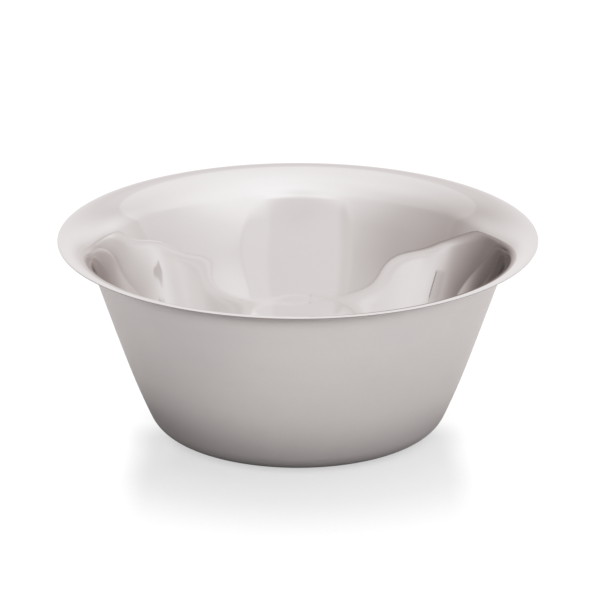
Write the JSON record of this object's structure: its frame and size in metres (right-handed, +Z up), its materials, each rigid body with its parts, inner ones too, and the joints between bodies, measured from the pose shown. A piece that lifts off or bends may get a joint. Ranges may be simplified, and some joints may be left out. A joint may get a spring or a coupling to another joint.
{
  "type": "mixing bowl",
  "caption": "Open conical mixing bowl in one piece of stainless sheet, with a flat base, rounded base corner, slightly bellied wall and a wide flared lip.",
  "frame": {"origin": "centre of the plane the bowl stands on", "axes": "+Z up along the bowl's axis of revolution, through the mouth; X and Y are alike"},
  "size_m": [0.28, 0.28, 0.115],
  "materials": {
    "stainless_steel": "mirror polished inside and on the lip, fine satin outside"
  },
  "bodies": {
    "root": {"bowl": "stainless_steel"}
  },
  "joints": []
}
